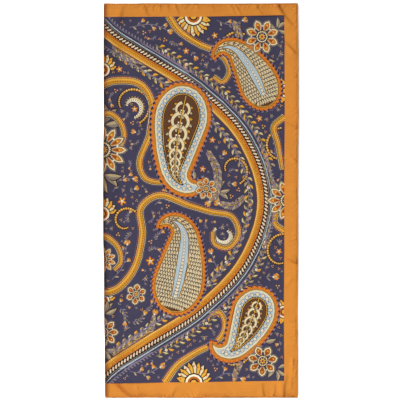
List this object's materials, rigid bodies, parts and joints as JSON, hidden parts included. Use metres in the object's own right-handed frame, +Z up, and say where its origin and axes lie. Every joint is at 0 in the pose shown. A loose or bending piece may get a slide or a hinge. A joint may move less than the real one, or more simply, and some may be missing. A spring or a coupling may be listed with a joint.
{
  "type": "folded silk scarf",
  "caption": "Square printed silk scarf with hand-rolled hems, folded in half lengthwise and laid flat.",
  "frame": {"origin": "the middle of the folded scarf's footprint, on the surface that it lies on", "axes": "+Z up out of the surface, +Y along the fold towards the picture's top edge, +X from the fold towards the free side hems"},
  "size_m": [0.4465, 0.9, 0.0063],
  "materials": {
    "printed_silk": "silk twill printed with a paisley in orange, gold, cream and brown on navy, with a plain orange border, soft sheen",
    "hem_silk": "orange silk twill, rolled by hand and stitched, soft sheen"
  },
  "bodies": {
    "root": {"silk_square": "printed_silk", "hem_top": "hem_silk", "hem_foot": "hem_silk", "hem_front_side": "hem_silk", "hem_back_side": "hem_silk"}
  },
  "joints": []
}
